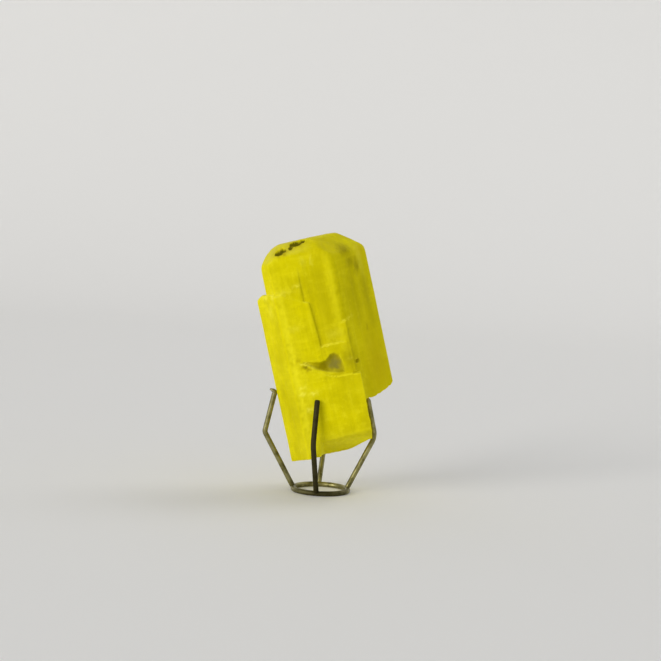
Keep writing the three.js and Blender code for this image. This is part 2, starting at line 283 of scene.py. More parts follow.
for number, (side, shape) in enumerate(prong_shapes.items()):
    seat = seat_of(shape["foot_angle"])
    corners = [np.array(corner) for corner in shape["corners"]]
    rise = (corners[0] - seat) / np.linalg.norm(corners[0] - seat)
    foot = seat + rise * (WIRE_RADIUS - FOOT_SINK)
    bend_reach = FLICK_BEND_REACH if len(corners) > 2 else BEND_REACH
    prong_grid, prong_ends, prong_drawn = prong_skin(np.array([foot, *corners]), bend_reach, shape["nip"],
                                                     DRAWN_LINE_SHIFT * number)
    prong = skinned(f"prong_{side}_wire", prong_grid + RING_CENTRE, prong_ends + RING_CENTRE,
                    {"drawn": prong_drawn, "painted_shade": np.full(len(prong_drawn), shape["painted_shade"])})
    prong.data.materials.append(plated_wire)
    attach(prong, "root")
    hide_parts(f"prong_{side}")

# ---- Solder ----------------------------------------------------------------------------------------------
# A fillet of soft solder at each prong's foot has run a little way along both wires and frozen there,
# darker and duller than the plating.

BEAD_REACH = np.array([1.65, 2.5, 1.9])
BEAD_LIFT = 0.55
BEAD_ROWS = 60
BEAD_COLUMNS = 90
SOLDER_THICKNESS = 0.4
SOLDER_FILLET = 0.8
SOLDER_EDGE_WEAR = 0.07
SOLDER_ABOVE_GROUND = 0.03
LUMP_WAVES = 5
LUMP_PACE = 2.2
LUMP_HEIGHT = 0.03
FIRST_BEAD_SEED = 20
TINY = 1e-9
SOLDER_LIGHT = (0.21, 0.20, 0.07, 1)
SOLDER_DULL = (0.10, 0.095, 0.025, 1)


def greatest(values, softness):
    """The greatest of several distances, rounded where two are nearly equal: softness times the logarithm
    of the sum of their exponentials. It is never less than any one of them, so edges come out rounded."""
    top = values.max(axis=0)
    return top + softness * np.log(np.exp((values - top) / softness).sum(axis=0))


def least(values, softness):
    """The least of several distances, filled where two are nearly equal, so inner corners get a fillet."""
    return -greatest(-values, softness)


def ellipsoid(p, centre, radii):
    """The rough distance to an ellipsoid: the length of p over the radii, times that less one, divided by
    the length of p over the squared radii."""
    q = (p - centre) / radii
    length = np.linalg.norm(q, axis=-1)
    return length * (length - 1) / np.maximum(np.linalg.norm(q / radii, axis=-1), TINY)


def marched(origin, direction, distance, steps=70, share=0.95, near_enough=1e-4):
    """Where each ray, started inside a solid, meets its skin: the point moves on again and again by most of
    the distance that is still left to the skin. Only the rays that haven't arrived are moved."""
    p = origin.copy()
    live = np.arange(len(p))
    for _ in range(steps):
        gap = distance(p[live])
        p[live] -= (share * gap)[:, None] * direction[live]
        live = live[np.abs(gap) > near_enough]
        if not len(live):
            break
    return p


def solder_finish():
    """Frozen solder: dark, slightly grainy metal with brighter and duller patches."""
    material, shader = new_material("solder_finish")
    tree = material.node_tree
    place = add(tree, "TexCoord").outputs["Object"]
    patches = add(tree, "TexNoise", {"Vector": place, "Scale": 900.0, "Detail": 4.0})
    grains = add(tree, "TexNoise", {"Vector": place, "Scale": 4200.0, "Detail": 3.0})
    share = ranged(tree, patches.outputs[0], 0.38, 0.64)
    tree.links.new(blended(tree, share, SOLDER_LIGHT, SOLDER_DULL), shader.inputs["Base Color"])
    shader.inputs["Metallic"].default_value = 1.0
    tree.links.new(ranged(tree, patches.outputs[0], 0.35, 0.7, 0.34, 0.58), shader.inputs["Roughness"])
    bump = add(tree, "Bump", {"Height": grains.outputs[0], "Strength": 0.4, "Distance": 0.00004})
    tree.links.new(bump.outputs[0], shader.inputs["Normal"])
    return material


def solder_skin(seat, rise, angle, seed):
    """Rays go out from the middle of the joint in every direction, a grid of angles round and up. The solid
    is the ring's wire and the prong's wire joined by a fillet and swelled by the solder's thickness, a
    little lumpy, kept within an ellipsoid turned with the joint and above the ground."""
    middle = seat + rise * BEAD_LIFT
    up = np.linspace(-np.pi / 2, np.pi / 2, BEAD_ROWS + 2)[1:-1][:, None]
    around = np.linspace(0, 2 * np.pi, BEAD_COLUMNS, endpoint=False)[None, :]
    direction = np.stack([np.cos(up) * np.cos(around), np.cos(up) * np.sin(around),
                          np.sin(up) + 0 * around], axis=-1).reshape(-1, 3)
    direction = np.vstack([direction, [[0, 0, -1], [0, 0, 1]]])
    turn = np.array([[math.cos(angle), math.sin(angle), 0],
                     [-math.sin(angle), math.cos(angle), 0],
                     [0, 0, 1]])
    lumps = np.random.default_rng(seed).normal(size=(LUMP_WAVES, 3)) * LUMP_PACE

    def distance(p):
        round_ring = np.hypot(np.hypot(p[:, 0], p[:, 1]) - RING_RADIUS, p[:, 2] - RING_AXIS_HEIGHT)
        way = np.clip((p - seat) @ rise, 0, None)
        round_prong = np.linalg.norm(p - seat - way[:, None] * rise, axis=1)
        joined = least(np.stack([round_ring, round_prong]) - WIRE_RADIUS - SOLDER_THICKNESS, SOLDER_FILLET)
        joined += LUMP_HEIGHT * np.sin(p @ lumps.T).sum(axis=1)
        limit = ellipsoid((p - middle) @ turn.T, np.zeros(3), BEAD_REACH)
        return greatest(np.stack([joined, limit, SOLDER_ABOVE_GROUND - p[:, 2]]), SOLDER_EDGE_WEAR)

    skin = marched(np.repeat(middle[None], len(direction), axis=0), direction, distance)
    return skin[:-2].reshape(BEAD_ROWS, BEAD_COLUMNS, 3), skin[-2:]


solder = solder_finish()
for number, (side, shape) in enumerate(prong_shapes.items()):
    seat = seat_of(shape["foot_angle"])
    corner = np.array(shape["corners"][0])
    rise = (corner - seat) / np.linalg.norm(corner - seat)
    bead_grid, bead_ends = solder_skin(seat, rise, math.radians(shape["foot_angle"]),
                                       FIRST_BEAD_SEED + number)
    bead = skinned(f"solder_{side}_fillet", bead_grid + RING_CENTRE, bead_ends + RING_CENTRE)
    bead.data.materials.append(solder)
    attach(bead, "root")
    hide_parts(f"solder_{side}")

# ---- Crystal ---------------------------------------------------------------------------------------------
# One piece of lemon-yellow apatite: several parallel six-sided prisms grown together, ended by low pyramid
# faces. Its lower right corner and its foot are broken, and chips and pits show in its front and top. It
# only rests in the prongs. Sizes are along the crystal's own axes, from where its axis meets its foot.

CRYSTAL_FOOT = np.array([8.02, 0, 11.22])
CRYSTAL_LEAN = math.radians(15)
PRISM_SIDES = 6
FRONT, RIGHT, BACK = 0, 1, 3
FRONT_TURN = -3
PYRAMID_SLOPE = math.radians(40.3)
LENGTH = 53.7
# How far each prism's upright faces stand from the axis, from the front one round by the right; the heights
# of its bottom and top; and, after them, the heights where the pyramid faces begin.
MAIN_FACES = [10.05, 9.2, 13.4, 10.3, 7.95, 14.2]
MAIN_SPAN = (6, LENGTH)
UPPER_LEFT_FACES = [10.75, 1.87, 12.5, 10.2, 8.15, 14.3]
UPPER_LEFT_SPAN = (30, LENGTH - 0.35)
LOWER_LEFT_FACES = [10.85, 3.62, 12.4, 10.4, 13.1, 14.65]
LOWER_LEFT_SPAN = (0, 42.2)
MIDDLE_FACES = [10.8, 8.85, 12.3, 10.2, 7.7, 13.5]
MIDDLE_SPAN = (3, 27.6)
PLATE_FACES = [10.12, 9.45, 11.5, 9.5, 7, 13]
PLATE_SPAN = (20, 40)
FOOT_FACES = [11.05, 11.6, 13.1, 10.35, 7.75, 14.55]
FOOT_SPAN = (0.7, 26)
FOOT_BACK_SHOULDER = 3.4
FOOT_BACK_SLOPE = 1.18
TOP_SHOULDERS = [50.8, 49.0, 49.1, 50.3, 52.2, 49.6]
FACES_UP = 0.3
MAIN_BEVEL = 0.4
MINOR_BEVEL = 0.06
EDGE_WEAR = 0.08
SHOULDER_WEAR = 0.45
PYRAMID_WEAR = 0.36
JOIN_WEAR = 0.05
FOOT_WEAR = 0.05
RIM_WEAR = 0.06
UNDERSIDE_WEAR = 0.22


def face_direction(k):
    """Outward direction of upright face k; k plus a half is the bevel after it."""
    azimuth = np.radians(FRONT_TURN + 360 / PRISM_SIDES * k)
    return np.array([np.sin(azimuth), -np.cos(azimuth), 0])


def prism_planes(faces, span, bevel=MINOR_BEVEL, shoulders=(), ends=()):
    """The planes that bound one prism, as normals and distances from the crystal's origin: six upright
    faces, a bevel on each upright edge, both ends, a pyramid face above each upright one that has a
    shoulder, and any more that are given as a normal and a point."""
    normals = [face_direction(k) for k in range(PRISM_SIDES)]
    distances = list(faces)
    for k in range(PRISM_SIDES):
        corner = (faces[k] + faces[(k + 1) % PRISM_SIDES]) / (2 * math.cos(math.pi / PRISM_SIDES))
        normals.append(face_direction(k + 0.5))
        distances.append(corner - bevel)
    normals += [np.array([0, 0, -1]), np.array([0, 0, 1])]
    distances += [-span[0], span[1]]
    for k, height in enumerate(shoulders):
        up = np.array([0, 0, math.cos(PYRAMID_SLOPE)])
        normals.append(face_direction(k) * math.sin(PYRAMID_SLOPE) + up)
        distances.append(faces[k] * math.sin(PYRAMID_SLOPE) + height * math.cos(PYRAMID_SLOPE))
    for normal, point in ends:
        unit = np.array(normal) / np.linalg.norm(normal)
        normals.append(unit)
        distances.append(unit @ np.array(point))
    return np.array(normals), np.array(distances)


# Planes that end the prisms, each a direction out of the prism and a point. The front of the upper left
# prism dies away upwards, that of the middle one to the right, and the thin plate on the right face
# backwards, so each step between them is sharp at one end and gone at the other. The lower left prism
# narrows upwards, its top slants down to both sides and its bottom is a little tilted. The foot's lower
# back edge slopes, its front dies away to the left and its bottom rises there.
upper_left_fade = (face_direction(FRONT) + np.array([0, 0, 0.12]), (0, -10.76, 42.2))
middle_fade = (face_direction(FRONT + 0.085), (-2.4, -10.69, 0))
plate_fade = (face_direction(RIGHT + 0.07), (4.45, -10.4, 0))
plate_top = ((-0.182, -0.28, 0.943), (3.86, -10.59, 32.33))
lower_left_narrowing = (face_direction(RIGHT) + np.array([0, 0, 0.05]), (-2.7, -10.8, 26.5))
lower_left_ends = [((0.445, 0.1, 1), (-11.5, -8, 42)),
                   ((-0.7, 0, 1), (-15.6, 0, 41.4)),
                   ((0.92, 0, 0.4), (-3.3, -10.8, 38.7)),
                   lower_left_narrowing,
                   ((0.1, -0.05, -1), (0, 0, 1.7))]
foot_back = (face_direction(BACK) + np.array([0, 0, -FOOT_BACK_SLOPE]),
             face_direction(BACK) * FOOT_FACES[BACK] + np.array([0, 0, FOOT_BACK_SHOULDER]))
foot_fade = (face_direction(FRONT - 0.03), (-6, -10.75, 0))
foot_left_end = ((-0.35, 0, -1), (-7.2, 0, FOOT_SPAN[0]))
grown_prisms = [
    prism_planes(MAIN_FACES, MAIN_SPAN, MAIN_BEVEL, TOP_SHOULDERS),
    prism_planes(UPPER_LEFT_FACES, UPPER_LEFT_SPAN, shoulders=TOP_SHOULDERS, ends=[upper_left_fade]),
    prism_planes(LOWER_LEFT_FACES, LOWER_LEFT_SPAN, ends=lower_left_ends),
    prism_planes(MIDDLE_FACES, MIDDLE_SPAN, ends=[middle_fade]),
    prism_planes(PLATE_FACES, PLATE_SPAN, ends=[plate_fade, plate_top]),
]
foot_planes = prism_planes(FOOT_FACES, FOOT_SPAN, ends=[foot_back, foot_fade, foot_left_end])
# The foot seen from the front. Its top is the curved rim that the rest has broken away from.
foot_outline = [(-17, -1), (5.5, -1), (5.5, 19.5), (1.9, 19.65), (-0.1, 19.7), (-1.9, 20.2), (-3, 20.9),
                (-4.4, 21.6), (-5.7, 22.2), (-6.9, 22.5), (-8.2, 22.7), (-11, 22), (-17, 20.5)]


def outline_distance(u, v, outline):
    """Distance from points of a plane to a closed outline, negative inside it: the least distance to any of
    its sides, with the sign from how many sides a line going out to the right crosses."""
    start = np.array(outline, float)
    end = np.roll(start, -1, axis=0)
    side = end - start
    at = np.stack([u, v], axis=-1)[:, None] - start
    share = np.clip((at * side).sum(-1) / (side ** 2).sum(-1), 0, 1)
    away = np.linalg.norm(at - share[..., None] * side, axis=-1).min(axis=1)
    run = np.where(side[:, 1] == 0, 1, side[:, 1])
    crossed = ((at[..., 1] > 0) != (v[:, None] > end[:, 1])) & (at[..., 0] < side[:, 0] * at[..., 1] / run)
    return np.where(crossed.sum(axis=1) % 2 == 1, -away, away)


def ripple(p, size, seed, waves=7, slowest=0.7, quickest=1.5):
    """A smooth unevenness of about -1 to 1: the sum of sine waves whose lengths are near the size given for
    each axis, with directions and phases drawn from the seed."""
    draw = np.random.default_rng(seed)
    pace = draw.normal(size=(waves, 3))
    quickness = draw.uniform(slowest, quickest, (waves, 1))
    pace *= 2 * np.pi / np.linalg.norm(pace, axis=1, keepdims=True) * quickness
    phase = draw.uniform(0, 2 * np.pi, waves)
    return np.sin(p / np.array(size) @ pace.T + phase).sum(axis=1) / math.sqrt(waves)


def within(p, planes):
    """Distance to a prism: the greatest distance to any of its planes, with its edges worn round. The edges
    of its pyramid, if it has one, are worn far more than its upright ones."""
    normals, distances = planes
    beyond = (p @ normals.T - distances).T
    on_top = normals[:, 2] > FACES_UP
    has_pyramid = on_top.sum() > PRISM_SIDES
    upright = greatest(beyond[~on_top], EDGE_WEAR)
    over = greatest(beyond[on_top], PYRAMID_WEAR if has_pyramid else EDGE_WEAR)
    return greatest(np.stack([upright, over]), SHOULDER_WEAR if has_pyramid else EDGE_WEAR)


def cluster(p):
    """Distance to the prisms and the foot joined as they grew, with a tiny fillet where two meet."""
    in_outline = outline_distance(p[:, 0], p[:, 2], foot_outline)
    foot = greatest(np.stack([within(p, foot_planes), in_outline]), FOOT_WEAR)
    return least(np.stack([within(p, planes) for planes in grown_prisms] + [foot]), JOIN_WEAR)


def wavered(p, amount, size, seeds):
    """Points moved along each axis by a ripple of its own."""
    return p + amount * np.stack([ripple(p, (size, size, size), seed) for seed in seeds], axis=-1)


terraces = [(0.022, (2.6, 2.6, 60), 3), (0.011, (1.1, 1.1, 40), 4)]  # their height, size and seed
TERRACE_EDGE = 3
UNEVEN_HEIGHT, UNEVEN_SIZE, UNEVEN_SEED = 0.02, (5, 5, 7), 5


def growth_steps(p):
    """Low terraces whose edges run up the crystal, at two sizes, and a slight unevenness: the hyperbolic
    tangent turns a ripple's slopes into edges and its crests into flats."""
    steps = sum(height * np.tanh(TERRACE_EDGE * ripple(p, size, seed)) for height, size, seed in terraces)
    return steps + UNEVEN_HEIGHT * ripple(p, UNEVEN_SIZE, UNEVEN_SEED)


# What has been lost: the lower right corner, seen from the front; the sloping underside, seen from the
# right, as far as a slanting end on the left; shallow hollows and pits, each a middle and its radii; and
# the chip, seen from the front.
BREAK_TURN = math.radians(3)
break_outline = [(-4.4, -4), (-4.4, 0), (-3.3, 0.3), (-0.7, 1.1), (1.4, 1.65), (3, 2.5), (4.4, 2.75),
                 (4.6, 3.8), (4.75, 7.8), (4.8, 12.3), (5.1, 12.9), (5.7, 12.55), (6.8, 12.3), (8.4, 12.6),
                 (10.2, 12.85), (11.7, 13.3), (12.9, 14), (20, 18), (20, -4)]
underside_outline = [(-14, 7.3), (-14, -2), (-1.4, -2)]
UNDERSIDE_END_POINT = np.array([-7.2, -10.8, 4.94])
UNDERSIDE_END_DIRECTION = np.array([-0.955, 0.14, 0.26])
UNDERSIDE_END_WEAR = 0.05
hollows = [((9.6, 3.4, 12.2), (3.2, 4.2, 1.8)), ((5.6, 3.5, 7.5), (1.8, 4.8, 4.2)),
           ((-13, 3.2, 42.5), (2, 2.6, 0.9)), ((-10.8, -10.6, 41.9), (1, 0.7, 0.5))]
chip_outline = [(-0.8, 25.5), (0.3, 25.6), (1.2, 24.9), (1.7, 23.4), (2.0, 21.6), (1.9, 20.3), (0.6, 20.35),
                (-0.9, 20.7), (-2.4, 21.2), (-3.5, 21.7), (-4.7, 22.3), (-5.8, 23), (-7.7, 24.4),
                (-7.6, 24.8), (-5.4, 24.3), (-3.7, 24), (-2.2, 24.2), (-1.6, 24.7)]
CHIP_DEPTH = 1.5
CHIP_RIM = 0.8
CHIP_OUTER_SLOPE = 0.5
CHIP_CAUTION = 0.55
pits = [((-7.9, -8.5, 51.6), (0.95, 1.1, 0.55)), ((-6.9, -8.1, 51.9), (0.7, 0.8, 0.4)),
        ((-4.9, -8.1, 52.3), (0.45, 0.55, 0.3)),
        ((-4.2, -7.1, 52.95), (0.75, 0.9, 0.45)), ((-3.2, -6.8, 53.0), (1.05, 1.3, 0.7)),
        ((-2.0, -6.4, 53.1), (0.8, 0.9, 0.45)), ((-7.3, -10.95, 23.35), (0.6, 0.6, 0.4)),
        ((-6.8, -11.1, 22.8), (0.5, 0.5, 0.35)), ((5.2, -8.8, 22.2), (0.75, 0.9, 0.35)),
        ((-8.7, -11, 25.6), (0.3, 0.3, 0.25))]
HOLLOW_FILLET = 0.1
PIT_FILLET = 0.05
fracture_waver = (0.06, 2.3, (11, 12, 13))  # its amount, size and seeds
pit_waver = (0.09, 1, (14, 15, 16))


def losses(p):
    """How far each point lies inside the matter that has been lost, negative in the solid that is left, for
    each kind of loss. The outlines waver a little, as a fracture's do. The chip's depth grows from its
    outline to its full value by an exponential, and its distance is cut down, because its rim is steep."""
    q = wavered(p, *fracture_waver)
    turned_x = q[:, 0] * math.cos(BREAK_TURN) + q[:, 1] * math.sin(BREAK_TURN)
    corner = -outline_distance(turned_x, q[:, 2], break_outline)
    underside = -greatest(np.stack([outline_distance(p[:, 1], p[:, 2], underside_outline),
                                    (p - UNDERSIDE_END_POINT) @ UNDERSIDE_END_DIRECTION]),
                          UNDERSIDE_END_WEAR)
    scooped = -least(np.stack([ellipsoid(q, *hollow) for hollow in hollows]), HOLLOW_FILLET)
    into_front = MIDDLE_FACES[FRONT] - p @ face_direction(FRONT)
    inside_chip = -outline_distance(q[:, 0], q[:, 2], chip_outline)
    floor_depth = CHIP_DEPTH * (1 - np.exp(-np.maximum(inside_chip, 0) / CHIP_RIM))
    chip = CHIP_CAUTION * (floor_depth + CHIP_OUTER_SLOPE * np.minimum(inside_chip, 0) - into_front)
    jagged = wavered(p, *pit_waver)
    pitted = -least(np.stack([ellipsoid(jagged, *pit) for pit in pits]), PIT_FILLET)
    return {"corner": corner, "underside": underside, "hollows": scooped, "chip": chip, "pits": pitted}


fracture_ripples = [(0.07, (3.2, 3.2, 2.4), 7), (0.025, (1.3, 1.3, 1.1), 8)]  # their height, size and seed
BREAK_BLEND = 0.15


def crystal_distance(p):
    """Distance to the crystal as it is: the cluster with its growth steps, less what has been lost. Where
    the corner and the hollows are broken out, the growth steps give way to a rougher surface. The edge of
    the underside is worn rounder than the rims of the other losses."""
    whole = cluster(p)
    lost = losses(p)
    broken = 1 / (1 + np.exp(-(np.maximum(lost["corner"], lost["hollows"]) - whole) / BREAK_BLEND))
    rough = sum(height * ripple(p, size, seed) for height, size, seed in fracture_ripples)
    worn = greatest(np.stack([whole, lost["underside"]]), UNDERSIDE_WEAR)
    left = greatest(np.stack([worn, *lost.values()]), RIM_WEAR)
    return left + broken * rough + (1 - broken) * growth_steps(p)


FAN_AXIS = np.array([-3.8, 0])
FAN_LOW, FAN_HIGH = 12.0, 34.0
CRYSTAL_COLUMNS = 324
SIDE_ROWS = 246
END_ROWS = 28
FINE_ANGLES = 2881
FINE_HEIGHTS = 1200
COLUMNS_EVERYWHERE, COLUMNS_IN_FRONT, COLUMNS_BY_LENGTH, COLUMNS_AT_EDGES = 0.6, 0.5, 0.25, 0.35
EDGE_TURNING = 0.016
EDGE_SPREAD = 12
ROWS_AT_LEDGES = 0.8
# Sections of the cluster that the rays aim at, and the heights between which each gives way to the next.
section_heights = np.array([8.0, 20.0, 34.0, 47.0])
section_changes = [12.5, 15.5, 27.0, 28.5, 40.5, 42.5]
# Heights where the surface steps, and how far the rows stay close about them.
ledges = [(0.5, 1.2), (2.5, 1.5), (13, 1.8), (20.5, 1.5), (24.5, 1.8), (27.6, 0.8), (41.5, 1.8), (50, 2.5),
          (53, 1.5)]


def spread(density, count, first, last):
    """count values from first to last, closer together where the density is higher."""
    at = np.linspace(first, last, len(density))
    total = np.append(0, np.cumsum((density[1:] + density[:-1]) / 2))
    return np.interp(np.linspace(0, total[-1], count), total, at)


def section_reach(angles, height):
    """How far the cluster reaches from the fan's axis at one height, in each direction."""
    direction = np.stack([np.cos(angles), np.sin(angles), 0 * angles], axis=-1)
    origin = np.repeat(np.append(FAN_AXIS, height)[None], len(angles), axis=0)
    return np.linalg.norm(marched(origin, direction, cluster)[:, :2] - FAN_AXIS, axis=1)


def column_angles():
    """Directions round the fan's axis, closer together in front and where an outline is long or turns."""
    fine = np.linspace(-np.pi, np.pi, FINE_ANGLES)
    window = np.hanning(2 * EDGE_SPREAD + 1) / EDGE_SPREAD
    density = COLUMNS_EVERYWHERE + COLUMNS_IN_FRONT * np.clip(-np.sin(fine), 0, 1)
    for height in section_heights:
        reach = section_reach(fine, height)
        outline = np.stack([reach * np.cos(fine), reach * np.sin(fine)], axis=-1)
        step = np.gradient(outline, axis=0)
        length = np.linalg.norm(step, axis=1)
        turning = np.abs(np.gradient(np.unwrap(np.arctan2(step[:, 1], step[:, 0]))))
        near_edge = np.convolve(np.pad(turning, EDGE_SPREAD, mode="wrap"), window, mode="valid")
        density = (density + COLUMNS_BY_LENGTH * length / length.mean()
                   + COLUMNS_AT_EDGES * np.minimum(near_edge / EDGE_TURNING, 1))
    return spread(density, CRYSTAL_COLUMNS + 1, -np.pi, np.pi)[:-1]


def crystal_skin():
    """Rays fan out from a short upright line inside the crystal. A column is a direction round the line and
    a row is a height, closest at the ledges; beyond both ends the rows close in to a point. Each aims at
    the outline of the section at its height, so the columns run straight up the faces, and starts from a
    point that climbs the line more slowly than the rows do."""
    angles = column_angles()
    tall = np.linspace(0, LENGTH, FINE_HEIGHTS)
    density = 1 + sum(ROWS_AT_LEDGES * np.exp(-((tall - place) / width) ** 2) for place, width in ledges)
    closing = np.linspace(1, 0, END_ROWS + 1)[1:-1]
    side_height = spread(density, SIDE_ROWS, 0, LENGTH)
    height = np.concatenate([0 * closing, side_height, 0 * closing + LENGTH])[:, None]
    closed = np.concatenate([closing[::-1], np.ones(SIDE_ROWS), closing])[:, None]
    reaches = np.stack([section_reach(angles, section) for section in section_heights])
    level = np.interp(height, section_changes, [0, 1, 1, 2, 2, 3])
    lower = np.minimum(level.astype(int), len(section_heights) - 2)
    reach = closed * (reaches[lower[:, 0]] * (1 - level + lower)
                      + reaches[lower[:, 0] + 1] * (level - lower))
    aim = np.stack([FAN_AXIS[0] + reach * np.cos(angles), FAN_AXIS[1] + reach * np.sin(angles),
                    height + 0 * reach], axis=-1).reshape(-1, 3)
    aim = np.vstack([aim, [[*FAN_AXIS, 0], [*FAN_AXIS, LENGTH]]])
    start_height = FAN_LOW + (FAN_HIGH - FAN_LOW) * aim[:, 2] / LENGTH
    origin = np.column_stack([np.tile(FAN_AXIS, (len(aim), 1)), start_height])
    direction = (aim - origin) / np.linalg.norm(aim - origin, axis=1, keepdims=True)
    return marched(origin, direction, crystal_distance), len(height)


def bends_and_slopes(grid):
    """For each point of the grid, how sharply the skin bends, which is how far the mean of its neighbours
    lies from it along the normal, as a share of their distance; and how far its normal points up."""
    beyond = np.concatenate([grid[:1], grid, grid[-1:]])
    across = np.roll(grid, -1, axis=1) - np.roll(grid, 1, axis=1)
    along = beyond[2:] - beyond[:-2]
    normal = np.cross(across, along)
    normal /= np.maximum(np.linalg.norm(normal, axis=-1, keepdims=True), TINY)
    mean = (np.roll(grid, 1, axis=1) + np.roll(grid, -1, axis=1) + beyond[2:] + beyond[:-2]) / 4
    size = np.linalg.norm(across, axis=-1) + np.linalg.norm(along, axis=-1)
    sharpness = ((grid - mean) * normal).sum(-1) / np.maximum(size, TINY)
    return sharpness, normal[..., 2]


spot_waver = (0.25, 1.4, (21, 22, 23))


def near(p, spots):
    """How close each point is to any of the spots: the spot's share times the exponential of minus the
    squared distance over the spot's squared size, with a slightly wavering outline."""
    q = wavered(p, *spot_waver)
    return np.max([share * np.exp(-(((q - middle) / size) ** 2).sum(axis=1))
                   for middle, size, share in spots], axis=0)


def standing(p):
    """Points of the crystal turned to its lean and put where it rests in the stand."""
    x = CRYSTAL_FOOT[0] + p[..., 0] * math.cos(CRYSTAL_LEAN) - p[..., 2] * math.sin(CRYSTAL_LEAN)
    z = CRYSTAL_FOOT[2] + p[..., 0] * math.sin(CRYSTAL_LEAN) + p[..., 2] * math.cos(CRYSTAL_LEAN)
    return np.stack([x, p[..., 1], z], axis=-1) + RING_CENTRE


# Spots of colour on the crystal, each a middle, a size and a share: brown stains beside the pits; olive
# patches, partly painted shade; amber patches; pale flecks and painted highlights; painted highlights
# along the ridges; and the greyer parts, the painted shade and the cleaner parts of the chip.
brown_spots = [((-7.3, -10.7, 23.3), (0.65, 0.8, 0.45), 1), ((-6.65, -10.7, 22.6), (0.45, 0.6, 0.35), 0.7),
               ((5.2, -8.7, 22.2), (0.8, 0.8, 0.55), 1),
               ((-8.7, -10.7, 25.5), 0.5, 0.6), ((9.3, -2.3, 29.3), (0.4, 0.5, 0.7), 0.6),
               ((-7.5, -8.3, 51.7), (1.6, 2, 0.9), 0.85), ((-4.8, -7.8, 52.3), 0.8, 0.6),
               ((-3.2, -6.9, 52.8), (2.1, 1.6, 0.9), 0.8), ((2.5, -10, 25.2), 0.5, 0.4)]
# Olive patches in the stone, partly painted shade: the thin ones along the step on the right of the lower
# left prism, the broad ones low on that prism and the band under the chip stand for shade.
olive_patches_and_shade = [((7.4, -4, 49.2), (2.0, 2.6, 1.9), 1), ((8.4, -3.6, 46.2), (1.8, 2.4, 1.7), 0.85),
                 ((9.8, -1.7, 44.8), (1.3, 1.9, 2.4), 0.85), ((-2, -9.9, 50.8), (2.6, 1.4, 1.1), 0.25),
                 ((10.7, -0.1, 37.5), (1.6, 2, 8), 0.55),
                 ((8, -4.2, 40), (1.2, 1.6, 8), 0.35), ((10, -1.2, 20), (3, 4, 7), 0.45),
                 ((4.5, -9.8, 40), (0.7, 0.7, 12), 0.3), ((4.3, -10, 28.3), (0.9, 1, 3), 0.5),
                 ((4.8, -11, 6.5), (1.8, 2, 4), 0.4), ((-13.9, -4, 18.3), (1.5, 3, 2.6), 0.35),
                 ((-13.2, -5.5, 26), (2, 4, 5), 0.18),
                 ((-2.2, -10, 38), (0.8, 1, 9), 0.4), ((0.4, -10.3, 39), (3.2, 2, 12), 0.4),
                 ((-11.5, -10, 10), (4, 4, 6), 0.25),
                 ((-2.5, -10, 44), (2.5, 1, 3), 0.2), ((-10.5, -10.5, 27), (1.5, 1.5, 3), 0.3),
                 ((-12, -8, 13), (4, 5, 10), 0.25), ((3.5, -11, 17), (3, 2, 6), 0.2),
                 ((3.6, -10.2, 23.2), (1.6, 1.8, 3.2), 0.75), ((-0.5, -11, 20), (3.4, 2, 0.8), 0.35),
                 ((-2.2, -10.4, 31), (0.6, 1, 8), 0.35)]
amber_patches = [((11.2, 1, 48), (1.6, 2.4, 1.6), 0.9), ((10, -1.2, 19), (5, 6, 9), 0.9),
                 ((4, -8, 52), (5, 4, 3), 0.35)]
# Pale flecks and painted highlights: glints on the lower front, the bright lip above the chip, lines along
# the plate's top, and a wide painted lift of light on the downward-facing bevel near the bottom.
pale_flecks_and_highlights = [((-9.2, -10.6, 18.7), (0.8, 0.7, 0.3), 0.9), ((-6.6, -10.8, 16.9), (1, 0.7, 0.35), 0.9),
               ((-9.4, -10.6, 17.15), (0.9, 0.7, 0.35), 0.85), ((-5.4, -10.6, 43.2), (0.8, 0.7, 0.35), 0.8),
               ((-8.4, -10.7, 13.1), (1, 0.7, 0.5), 0.5), ((-9.5, -11, 42), (2.5, 1, 0.5), 0.6),
               ((-8, -10.6, 24.35), (0.6, 0.8, 0.25), 0.9), ((-7.2, -10.6, 24.15), (0.6, 0.8, 0.22), 0.9),
               ((-6.4, -10.6, 23.65), (0.5, 0.8, 0.25), 0.85),
               ((-5.7, -10.7, 22.75), (0.5, 0.8, 0.35), 0.7),
               ((3.7, -9.8, 23.3), (0.9, 1, 0.3), 0.35), ((4.2, -9.7, 32.45), (0.5, 0.6, 0.28), 0.7),
               ((5.1, -8.6, 32.9), (0.5, 0.7, 0.28), 0.7), ((6, -7.3, 33.3), (0.45, 0.7, 0.28), 0.55),
               ((-0.9, -10.6, 27.7), (1.5, 0.8, 0.25), 0.5), ((1.5, -10.6, 27.7), (1.2, 0.8, 0.25), 0.5),
               ((10.9, -0.2, 47), (0.9, 1.4, 4.5), 0.3), ((-2, -9, 3.2), (9, 4, 2.4), 0.22),
               ((-12.6, -6.7, 38), (0.8, 1.4, 1.6), 0.35),
               ((-13.6, -5.5, 41.6), (1.1, 1.8, 0.5), 0.7), ((-11.6, -9.2, 41.7), (0.8, 1, 0.6), 0.7),
               ((-0.7, -10.2, 48.7), (0.3, 0.8, 1.4), 0.4), ((-2.8, -10.2, 48.6), (0.8, 0.8, 1.3), 0.25),
               ((-8, -10.6, 33), (1.6, 0.8, 0.6), 0.25), ((1.5, -10.2, 30), (1.8, 0.8, 1), 0.2)]
